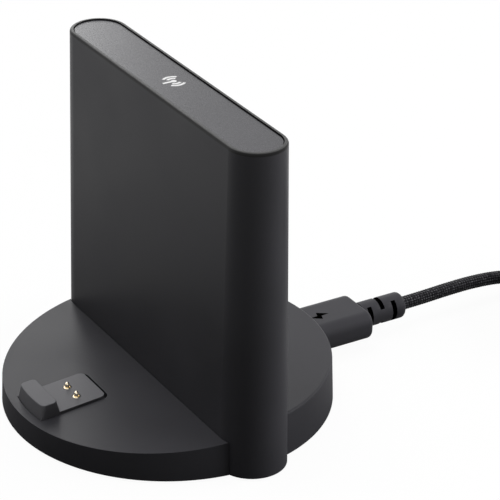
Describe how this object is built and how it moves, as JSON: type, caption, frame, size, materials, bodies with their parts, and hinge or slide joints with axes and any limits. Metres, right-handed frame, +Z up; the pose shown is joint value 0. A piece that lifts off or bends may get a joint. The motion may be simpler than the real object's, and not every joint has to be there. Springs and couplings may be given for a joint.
{
  "type": "mouse charging dock",
  "caption": "Round charging dock with a sloped contact deck, an upright receiver tower with round ends and a braided USB lead.",
  "frame": {"origin": "on the table, under the centre of the round base", "axes": "+X along the tower's length, -Y towards the charging deck, +Y towards the socket and lead, +Z up"},
  "size_m": [0.0999, 0.1543, 0.0656],
  "materials": {
    "shell_black": "fine matte moulded",
    "plate_black": "matte moulded",
    "insert_grey": "matte moulded",
    "panel_grey": "satin",
    "icon_white": "smooth",
    "clear_plastic": "clear acrylic",
    "foot_rubber": "matte, fine dimples",
    "gold_contact": "gold plated",
    "spring_steel": "bright",
    "plated_steel": "nickel plated",
    "circuit_board": "solder mask",
    "inner_black": "matte moulded",
    "plug_black": "soft matte moulded",
    "braid_black": "woven braid",
    "tie_black": "hook and loop strap"
  },
  "bodies": {
    "dock": {"front_cover": "shell_black", "rear_cover": "shell_black", "tower_shell": "shell_black", "base_plate": "plate_black", "dock_insert": "insert_grey", "top_panel": "panel_grey", "icon_window": "icon_white", "status_led": "icon_white", "ribbon_sockets": "icon_white", "light_pipe": "clear_plastic", "foot_pad": "foot_rubber", "pin_barrels": "gold_contact", "antenna": "gold_contact", "pin_spring_left": "spring_steel", "pin_spring_right": "spring_steel", "base_screws": "spring_steel", "tower_screws": "spring_steel", "main_board_screws": "spring_steel", "radio_screws": "spring_steel", "socket_shell": "plated_steel", "shield_can": "plated_steel", "main_board": "circuit_board", "radio_board": "circuit_board", "pin_block": "inner_black", "charge_chips": "inner_black", "socket_tongue": "inner_black", "board_carrier": "inner_black", "ribbon_cable": "inner_black"},
    "left_pin": {"contact_pin_left": "gold_contact"},
    "right_pin": {"contact_pin_right": "gold_contact"},
    "lead": {"plug_shell": "plated_steel", "plug_core": "inner_black", "plug_housing": "plug_black", "strain_relief": "plug_black", "cable_lead": "braid_black", "cable_coil": "braid_black", "cable_tail": "braid_black", "cable_tie": "tie_black", "far_relief": "plug_black", "far_housing": "plug_black", "far_shell": "plated_steel", "far_tongue": "icon_white"}
  },
  "joints": [
    {"name": "left_pin_travel", "type": "slide", "parent": "dock", "child": "left_pin", "axis": [0, 0, 1], "range_m": [-0.0006, 0], "stiffness_N_per_m": 500, "springref_m": 0.0006, "deforming": ["pin_spring_left"]},
    {"name": "right_pin_travel", "type": "slide", "parent": "dock", "child": "right_pin", "axis": [0, 0, 1], "range_m": [-0.0006, 0], "stiffness_N_per_m": 500, "springref_m": 0.0006, "deforming": ["pin_spring_right"]},
    {"name": "plug_pull", "type": "slide", "parent": "dock", "child": "lead", "axis": [0, 1, 0], "range_m": [0, 0.0085]}
  ]
}
